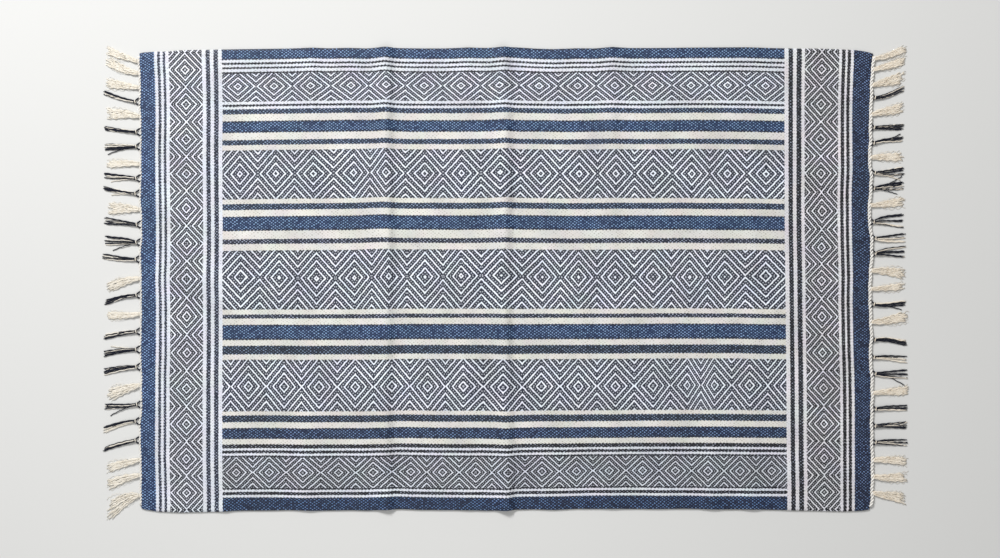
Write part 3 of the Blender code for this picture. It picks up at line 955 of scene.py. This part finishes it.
def build_tassel(tassel, side, radius, dice, yarns):
    """Adds one tassel's yarn tubes to the lists in yarns, by colour."""
    kind, root, tip_back, tip_front, reach = tassel
    bunch = "loose" if kind == "cream" else "knotted"
    knot_out, count, shorter, narrow, wider, opening, curl = BUNCHES[bunch]
    edge = edge_at(side, root)
    knot = edge + side * knot_out
    bend = dice.uniform(-BUNCH_BEND, BUNCH_BEND)
    middle, half = (tip_back + tip_front) / 2, (tip_back - tip_front) / 2
    order = list(range(count))
    dice.shuffle(order)
    for place, i in enumerate(order):
        part = 2 * (i + 0.5) / count - 1
        if kind == "mixed":
            colour = "navy" if part > 0 else "cream"
        else:
            colour = "cream" if kind == "cream" or place in ODD_YARNS else "navy"
        reached = reach + TIPS_PAST[side] - dice.uniform(0, shorter)
        if bunch == "knotted":
            part = (1 - GATHERED) * part + GATHERED * round(part * STRANDS) / STRANDS
        tip_off = part * (half + wider) + dice.uniform(-TIP_SCATTER, TIP_SCATTER)
        size = radius * dice.uniform(*YARN_THICKNESS)
        own_bend = bend + dice.uniform(-YARN_BEND, YARN_BEND)
        path = yarn_path(
            (knot - side * KNOT_OVERLAP, root), (edge + side * reached, middle),
            (part * narrow, tip_off), own_bend, dice,
            YARN_HEIGHTS[place % len(YARN_HEIGHTS)], size, opening, curl,
        )
        thickness = [size] * (len(path) - 1) + [size * TIP_TAPER]
        yarns[colour].append(tube(path, thickness, YARN_SIDES))
    for i in range(HAIRS if bunch == "loose" else 0):
        part = 2 * (i + 0.5) / HAIRS - 1
        start = (
            knot + side * dice.uniform(*HAIR_START),
            root + (middle - root) * HAIR_ON_WAY + part * HAIR_SIDE_START,
        )
        end = (edge + side * (reach + dice.uniform(*HAIR_END)), middle)
        off = (0.0, part * (half + HAIR_SIDE_END) + dice.uniform(-1, 1))
        path = yarn_path(
            start, end, off, bend, dice, HAIR_HEIGHT, HAIR_RADIUS, HAIR_OPENING, HAIR_CURL
        )
        yarns["cream"].append(tube(path, HAIR_RADIUS, HAIR_SIDES))
    starts, places = ROOTS[bunch]
    for start in starts:
        path = [(edge + side * out, root + start * share, z) for out, share, z in places]
        yarns["cream" if bunch == "loose" else "navy"].append(tube(path, radius, YARN_SIDES))
    for colour, past, wide, tall, slant in KNOTS[bunch]:
        yarns[colour].append(ring(knot + side * past, root, side, wide, tall, radius, slant))


def ring(x, y, side, wide, tall, radius, slant):
    """One turn of yarn round a tassel, closed under it."""
    path = []
    for i in range(KNOT_POINTS):
        angle = -math.pi / 2 + 2 * math.pi * i / (KNOT_POINTS - 1)
        across = math.cos(angle) * wide
        path.append((x + slant * across * side, y + across, radius + tall + math.sin(angle) * tall))
    return tube(path, radius, KNOT_SIDES)


def build_tassels(side, sizes):
    """The yarn tubes of one side's tassels, in lists by colour."""
    dice = random.Random(sizes.seed + side)
    radius = sizes.yarn_radius / MM
    yarns = {"cream": [], "navy": []}
    for tassel in LEFT_TASSELS if side < 0 else RIGHT_TASSELS:
        build_tassel(tassel, side, radius, dice, yarns)
    for _, root, colour, tip, reach in (stray for stray in STRAYS if stray[0] == side):
        edge = edge_at(side, root)
        size = radius * STRAY_THICKNESS
        path = yarn_path(
            (edge + side * STRAY_START, root), (edge + side * reach, tip), (0.0, 0.0),
            dice.uniform(-1, 1), dice, STRAY_HEIGHT, size, STRAY_OPENING, STRAY_CURL,
        )
        yarns[colour].append(tube(path, size, YARN_SIDES))
    return yarns


def charted(tree, at, table, first, second):
    """Two readings, from the table's rows, of the weave at a place: colour and alpha sockets.

    Each ramp spans only a short part of the table, because a ramp keeps 256 steps.
    """
    parts = [[]]
    for start, weave in table:
        if parts[-1] and start - parts[-1][0][0] > RAMP_SPAN:
            parts.append([])
        parts[-1].append((start, weave))
    colour = alpha = None
    for rows in parts:
        low, high = rows[0][0], rows[-1][0] + 1.0
        place = node(tree, "ShaderNodeMapRange", {"Value": at, "From Min": low, "From Max": high})
        found = node(tree, "ShaderNodeValToRGB", {"Fac": place})
        ramp = found.node.color_ramp
        ramp.interpolation = "CONSTANT"
        ramp.elements.remove(ramp.elements[1])
        for i, (start, weave) in enumerate(rows):
            spot = (start - low) / (high - low)
            stop = ramp.elements[0] if i == 0 else ramp.elements.new(spot)
            stop.position = spot
            stop.color = (*linear(WEAVES[weave][first])[:3], WEAVES[weave][second])
        here, here_alpha = found.node.outputs
        if colour is None:
            colour, alpha = here, here_alpha
            continue
        past = node(tree, "ShaderNodeMath", {0: at, 1: low}, operation="GREATER_THAN")
        colour = node(tree, "ShaderNodeMix", {0: past, 6: colour, 7: here}, **COLOURS)
        alpha = node(tree, "ShaderNodeMix", {0: past, 2: alpha, 3: here_alpha})
    return colour, alpha


def new_material(name):
    """A new material, its node tree and its surface shader."""
    made = bpy.data.materials.new(name)
    made.use_nodes = True
    tree = made.node_tree
    shader = tree.nodes["Principled BSDF"]
    return made, tree, shader


def woven_cotton():
    """Cotton twill of dyed and undyed yarn: matt, with a pattern of which yarn is on top."""
    made, tree, shader = new_material("woven_cotton")
    # All patterns read the place on the straight cloth in millimetres
    flat = node(tree, "ShaderNodeUVMap", {}, uv_map="flat")
    flat = node(tree, "ShaderNodeVectorMath", {0: flat, 1: (1000.0,) * 3}, operation="MULTIPLY")
    u = node(tree, "ShaderNodeSeparateXYZ", {0: flat})
    v = u.node.outputs[1]

    # The threads step sideways two by two, so every woven edge is a row of small slanted teeth,
    # here about 5.4 mm long and 1.2 mm deep, and made uneven by patches of 6 mm
    blur = node(tree, "ShaderNodeTexNoise", {"Vector": flat, "Scale": 0.17, "Detail": 2.0})
    blur = node(tree, "ShaderNodeMath", {0: blur, 1: 1.6, 2: -0.8}, operation="MULTIPLY_ADD")
    toothed = []
    for at, other, half_tooth, depth in ((v, u, 2.75, 0.58), (u, v, 2.65, 0.56)):
        teeth = node(tree, "ShaderNodeMath", {0: at, 1: 0.5, 2: other}, operation="MULTIPLY_ADD")
        teeth = node(tree, "ShaderNodeMath", {0: teeth, 1: half_tooth}, operation="PINGPONG")
        teeth = node(
            tree, "ShaderNodeMath", {0: teeth, 1: 0.42, 2: -depth}, operation="MULTIPLY_ADD"
        )
        teeth = node(tree, "ShaderNodeMath", {0: teeth, 1: blur}, operation="ADD")
        toothed.append(node(tree, "ShaderNodeMath", {0: at, 1: teeth}, operation="ADD"))
    across, along = toothed

    # Stripes: which two yarns meet at a place, how much of the second shows, and where diamonds are
    in_field = node(tree, "ShaderNodeMath", {0: along, 1: FIELD_START}, operation="GREATER_THAN")
    past_field = node(tree, "ShaderNodeMath", {0: along, 1: FIELD_END}, operation="GREATER_THAN")
    readings = []
    for first, second in ((0, 1), (2, 3)):
        colour, alpha = charted(tree, across, FIELD_STRIPES, first, second)
        left, left_alpha = charted(tree, along, LEFT_STRIPES, first, second)
        right, right_alpha = charted(tree, along, RIGHT_STRIPES, first, second)
        colour = node(tree, "ShaderNodeMix", {0: in_field, 6: left, 7: colour}, **COLOURS)
        colour = node(tree, "ShaderNodeMix", {0: past_field, 6: colour, 7: right}, **COLOURS)
        alpha = node(tree, "ShaderNodeMix", {0: in_field, 2: left_alpha, 3: alpha})
        alpha = node(tree, "ShaderNodeMix", {0: past_field, 2: alpha, 3: right_alpha})
        readings += [colour, alpha]
    ground, share, second_yarn, in_diamonds = readings

    # Goose-eye twill: white lines four threads apart that turn back every eleven threads, and
    # between them a row of dots that stand two threads apart. The lines wobble, as woven ones do
    laid_threads = node(tree, "ShaderNodeUVMap", {}, uv_map="diamonds")
    wobble = node(tree, "ShaderNodeTexNoise", {"Vector": laid_threads, "Scale": 0.6, "Detail": 3.0})
    wobble = node(tree, "ShaderNodeMath", {0: wobble, 1: 1.5, 2: -0.75}, operation="MULTIPLY_ADD")
    run = node(tree, "ShaderNodeSeparateXYZ", {0: laid_threads})
    cross = run.node.outputs[1]
    first_ring = node(tree, "ShaderNodeUVMap", {}, uv_map="rings")
    first_ring = node(tree, "ShaderNodeSeparateXYZ", {0: first_ring})
    turn = THREADS_PER_DIAMOND / 2
    fold = node(tree, "ShaderNodeMath", {0: run, 1: turn}, operation="PINGPONG")
    off = node(tree, "ShaderNodeMath", {0: cross}, operation="ABSOLUTE")
    out = node(tree, "ShaderNodeMath", {0: fold, 1: off}, operation="ADD")
    out = node(tree, "ShaderNodeMath", {0: out, 1: first_ring}, operation="SUBTRACT")
    out = node(tree, "ShaderNodeMath", {0: out, 1: wobble}, operation="ADD")
    counter = node(tree, "ShaderNodeMath", {0: fold, 1: off}, operation="SUBTRACT")
    counter = node(tree, "ShaderNodeMath", {0: counter, 1: wobble}, operation="ADD")
    ring_off = node(tree, "ShaderNodeMath", {0: out, 1: 2.0}, operation="PINGPONG")
    lines = node(
        tree, "ShaderNodeMapRange",
        {"Value": ring_off, "From Min": 0.3, "From Max": 0.75, "To Min": 1.0, "To Max": 0.0},
    )
    between_rings = node(tree, "ShaderNodeMath", {0: 2.0, 1: ring_off}, operation="SUBTRACT")
    dot_off = node(tree, "ShaderNodeMath", {0: counter, 1: 1.0}, operation="PINGPONG")
    spot = node(tree, "ShaderNodeCombineXYZ", {0: between_rings, 1: dot_off})
    spot = node(tree, "ShaderNodeVectorMath", {0: spot}, output=1, operation="LENGTH")
    dots = node(
        tree, "ShaderNodeMapRange",
        {"Value": spot, "From Min": 0.25, "From Max": 0.7, "To Min": 0.62, "To Max": 0.0},
    )
    eyes = node(tree, "ShaderNodeMath", {0: lines, 1: dots}, operation="MAXIMUM")

    # On the plain stripes the second yarn shows in a chequer of dots, some weaker than others.
    # Its rows drift by up to 2 mm over patches of 12 mm. It is drawn about a fifth coarser than
    # the real one, which is finer than the render's pixels
    jitter = node(tree, "ShaderNodeTexNoise", {"Vector": flat, "Scale": 0.08, "Detail": 2.0})
    drift = node(tree, "ShaderNodeMath", {0: jitter, 1: 4.0, 2: -2.0}, operation="MULTIPLY_ADD")
    cells = node(tree, "ShaderNodeMath", {0: u, 1: drift}, operation="ADD")
    cells = node(tree, "ShaderNodeMath", {0: cells, 1: 1 / DOT_ALONG}, operation="MULTIPLY")
    tiers = node(tree, "ShaderNodeMath", {0: v, 1: drift}, operation="SUBTRACT")
    tiers = node(tree, "ShaderNodeMath", {0: tiers, 1: 1 / DOT_ACROSS}, operation="MULTIPLY")
    wave = node(tree, "ShaderNodeMath", {0: cells, 1: math.pi}, operation="MULTIPLY")
    wave = node(tree, "ShaderNodeMath", {0: wave}, operation="SINE")
    rows = node(tree, "ShaderNodeMath", {0: tiers, 1: math.pi}, operation="MULTIPLY")
    rows = node(tree, "ShaderNodeMath", {0: rows}, operation="SINE")
    chequer = node(tree, "ShaderNodeMath", {0: wave, 1: rows}, operation="MULTIPLY")
    flecks = node(
        tree, "ShaderNodeMapRange", {"Value": chequer, "From Min": 0.22, "From Max": 0.7}
    )
    cell = node(tree, "ShaderNodeCombineXYZ", {0: cells, 1: tiers})
    cell = node(tree, "ShaderNodeVectorMath", {0: cell}, operation="FLOOR")
    chance = node(tree, "ShaderNodeTexWhiteNoise", {"Vector": cell}, noise_dimensions="2D")
    chance = node(tree, "ShaderNodeMath", {0: chance, 1: 1.8, 2: 0.1}, operation="MULTIPLY_ADD")
    flecks = node(tree, "ShaderNodeMath", {0: flecks, 1: chance}, operation="MULTIPLY")
    mask = node(tree, "ShaderNodeMix", {0: in_diamonds, 2: flecks, 3: eyes})
    mask = node(tree, "ShaderNodeMath", {0: mask, 1: share}, operation="MULTIPLY", use_clamp=True)
    colour = node(tree, "ShaderNodeMix", {0: mask, 6: ground, 7: second_yarn}, **COLOURS)

    # Dye and wear vary in broad soft patches, about 60 mm across
    patches = node(tree, "ShaderNodeTexNoise", {"Vector": flat, "Scale": 0.016, "Detail": 3.0})
    patches = node(
        tree, "ShaderNodeMapRange",
        {"Value": patches, "From Min": 0.3, "From Max": 0.7, "To Min": 0.87, "To Max": 1.1},
    )
    colour = node(
        tree, "ShaderNodeMix", {0: 1.0, 6: colour, 7: patches}, blend_type="MULTIPLY", **COLOURS
    )

    # The dye also leans a little towards green or purple, in patches about 33 mm across
    hues = node(tree, "ShaderNodeTexNoise", {"Vector": flat, "Scale": 0.03}, output=1)
    hues = node(
        tree, "ShaderNodeVectorMath", {0: hues, 1: (0.16,) * 3, 2: (0.92,) * 3},
        operation="MULTIPLY_ADD",
    )
    colour = node(
        tree, "ShaderNodeMix", {0: 1.0, 6: colour, 7: hues}, blend_type="MULTIPLY", **COLOURS
    )

    # Ridges and ribs of thread 3.4 mm apart, coarser than the real ones, which are too fine to show
    ridges = node(tree, "ShaderNodeTexWave", {"Vector": flat, "Scale": 0.093, "Distortion": 1.0})
    ribs = node(
        tree, "ShaderNodeTexWave", {"Vector": flat, "Scale": 0.093, "Distortion": 1.0},
        bands_direction="Y",
    )
    height = node(
        tree, "ShaderNodeMath", {0: ridges.node.outputs[1], 1: ribs.node.outputs[1]},
        operation="MULTIPLY",
    )
    relief = node(tree, "ShaderNodeBump", {"Height": height, "Distance": 0.0002, "Strength": 0.6})
    tree.links.new(colour, shader.inputs["Base Color"])
    tree.links.new(relief, shader.inputs["Normal"])

    # Cotton has a soft sheen where it faces the window
    shader.inputs["Roughness"].default_value = 0.62
    shader.inputs["Specular IOR Level"].default_value = 0.45
    return made


def plied_yarn(name, colour):
    """Plied cotton yarn: matt and soft, with its plies winding round it in slanted furrows of
    painted shade.
    """
    made, tree, shader = new_material(name)
    place = node(tree, "ShaderNodeUVMap", {}, uv_map="yarn")
    along = node(tree, "ShaderNodeSeparateXYZ", {0: place})
    round_it = along.node.outputs[1]
    turns = node(
        tree, "ShaderNodeMath", {0: along, 1: 1 / PLY_LAY, 2: round_it}, operation="MULTIPLY_ADD"
    )
    # The two plies leave two furrows round the yarn
    furrow = node(tree, "ShaderNodeMath", {0: turns, 1: 2.0}, operation="MULTIPLY")
    furrow = node(tree, "ShaderNodeMath", {0: furrow, 1: 0.5}, operation="PINGPONG")
    # Fibres catch the light unevenly, in spots of about 4 mm
    where = node(tree, "ShaderNodeTexCoord", {}, output=3)
    mottle = node(tree, "ShaderNodeTexNoise", {"Vector": where, "Scale": 260.0, "Detail": 2.0})
    mixing = node(tree, "ShaderNodeMath", {0: furrow, 1: 1.6, 2: mottle}, operation="MULTIPLY_ADD")
    mixing = node(
        tree, "ShaderNodeMapRange", {"Value": mixing, "From Min": 0.45, "From Max": 1.0}
    )
    # Painted shade: the furrows take a darker copy of the colour, warmer for pale yarn
    dark = (*(c * kept for c, kept in zip(colour, FURROW_SHADES[name])), 1.0)
    mixed = node(tree, "ShaderNodeMix", {0: mixing, 6: dark, 7: (*colour, 1.0)}, **COLOURS)
    relief = node(tree, "ShaderNodeBump", {"Height": furrow, "Distance": 0.0004, "Strength": 0.7})
    tree.links.new(mixed, shader.inputs["Base Color"])
    tree.links.new(relief, shader.inputs["Normal"])
    # Loose fibres scatter the light, so yarn is duller than cloth
    shader.inputs["Roughness"].default_value = 0.95
    shader.inputs["Specular IOR Level"].default_value = 0.3
    return made


def painted_floor(colour):
    """Matt paint on a plain floor, so that it shows only the light and the rug's shadow."""
    made, _, shader = new_material("matt_floor")
    shader.inputs["Base Color"].default_value = (*colour, 1.0)
    shader.inputs["Roughness"].default_value = 0.7
    shader.inputs["Specular IOR Level"].default_value = 0.2
    return made


class RUG_OT_cloth(bpy.types.Operator):
    """Weave the cloth"""

    bl_idname = "rug.cloth"
    bl_label = "Cloth"

    def execute(self, context):
        cloth = build_cloth(context.scene.rug_sizes)
        finish_piece(cloth, woven_cotton(), "woven_cotton", "cloth")
        return {"FINISHED"}


class RUG_OT_cords(bpy.types.Operator):
    """Lay the cord along each short edge"""

    bl_idname = "rug.cords"
    bl_label = "Edge cords"

    def execute(self, context):
        radius = context.scene.rug_sizes.ply_radius / MM
        # Bleached yarn is half way from the undyed one to white
        colour = tuple((1 + c) / 2 for c in context.scene.rug_colours.cream_yarn)
        surface = plied_yarn("bleached_cotton_cord", colour)
        for word, side, thickness, out, pitch in EDGE_CORDS:
            plies = edge_cord(side, radius * thickness, out, pitch)
            made = tubes_object(f"edge_cord_{word}", plies)
            finish_piece(made, surface, f"fringe_yarn_{word}", f"fringe_{word}")
        return {"FINISHED"}


class RUG_OT_tassels(bpy.types.Operator):
    """Knot the tassels of both short edges"""

    bl_idname = "rug.tassels"
    bl_label = "Tassels"

    def execute(self, context):
        colours = context.scene.rug_colours
        cream = plied_yarn("undyed_cotton_yarn", tuple(colours.cream_yarn))
        # Painted shade: the right-hand tassels' yarn is a little warmer and duller than the undyed
        # yarn of the left-hand tassels, for the shade they lie in
        raw = plied_yarn("cotton_yarn_in_painted_shade", tuple(colours.yarn_in_painted_shade))
        navy = plied_yarn("navy_cotton_yarn", tuple(colours.navy_yarn))
        for side, word, pale in ((-1, "left", cream), (1, "right", raw)):
            surfaces = {"cream": pale, "navy": navy}
            yarns = build_tassels(side, context.scene.rug_sizes)
            for colour, tubes in yarns.items():
                made = tubes_object(f"tassels_{word}_{colour}", tubes)
                finish_piece(made, surfaces[colour], f"fringe_yarn_{word}")
        return {"FINISHED"}


class RUG_OT_stage(bpy.types.Operator):
    """Add the floor, the light and the camera"""

    bl_idname = "rug.stage"
    bl_label = "Stage"

    def execute(self, context):
        scene = context.scene
        bpy.ops.object.select_all(action="DESELECT")
        bpy.ops.mesh.primitive_plane_add(size=FLOOR_WIDTH, location=(0.0, 0.0, FLOOR_HEIGHT))
        floor = context.active_object
        floor.name = "floor"
        bpy.ops.object.transform_apply(location=True)
        floor.data.materials.append(painted_floor(scene.rug_colours.floor))
        for name, place, width, power in LIGHTS:
            bpy.ops.object.light_add(type="AREA", location=place)
            light = context.active_object
            light.name = name
            light.data.size = width
            light.data.energy = power
            light.rotation_euler = (-light.location).to_track_quat("-Z", "Y").to_euler()
            # The overhead light hangs between the camera and the rug
            light.visible_camera = False
        bpy.ops.object.camera_add(location=CAMERA_PLACE, rotation=(0.0, 0.0, 0.0))
        camera = context.active_object
        camera.name = "camera"
        camera.data.lens = CAMERA_LENS
        camera.data.clip_start = 0.05
        scene.camera = camera
        world = bpy.data.worlds.new("studio")
        world.use_nodes = True
        sky = world.node_tree.nodes["Background"]
        sky.inputs["Color"].default_value = linear("#ffffff")
        sky.inputs["Strength"].default_value = SKY_STRENGTH
        scene.world = world
        scene.view_settings.view_transform = "Standard"
        return {"FINISHED"}


class RUG_PT_panel(bpy.types.Panel):
    """Sizes, colours and the pieces of the rug"""

    bl_idname = "RUG_PT_panel"
    bl_label = "Dhurrie rug"
    bl_space_type = "VIEW_3D"
    bl_region_type = "UI"
    bl_category = "Rug"

    def draw(self, context):
        for group in (context.scene.rug_sizes, context.scene.rug_colours):
            for name in type(group).__annotations__:
                self.layout.prop(group, name)
        for maker in OPERATORS:
            self.layout.operator(maker.bl_idname)


OPERATORS = (RUG_OT_cloth, RUG_OT_cords, RUG_OT_tassels, RUG_OT_stage)
CLASSES = (RugSizes, RugColours, *OPERATORS, RUG_PT_panel)


def register():
    for each in CLASSES:
        bpy.utils.register_class(each)
    bpy.types.Scene.rug_sizes = bpy.props.PointerProperty(type=RugSizes)
    bpy.types.Scene.rug_colours = bpy.props.PointerProperty(type=RugColours)


def unregister():
    del bpy.types.Scene.rug_colours
    del bpy.types.Scene.rug_sizes
    for each in reversed(CLASSES):
        bpy.utils.unregister_class(each)


def main():
    register()
    bpy.ops.object.select_all(action="DESELECT")
    bpy.ops.rug.cloth()
    bpy.ops.rug.cords()
    bpy.ops.rug.tassels()
    bpy.ops.rug.stage()


if __name__ == "__main__":
    main()
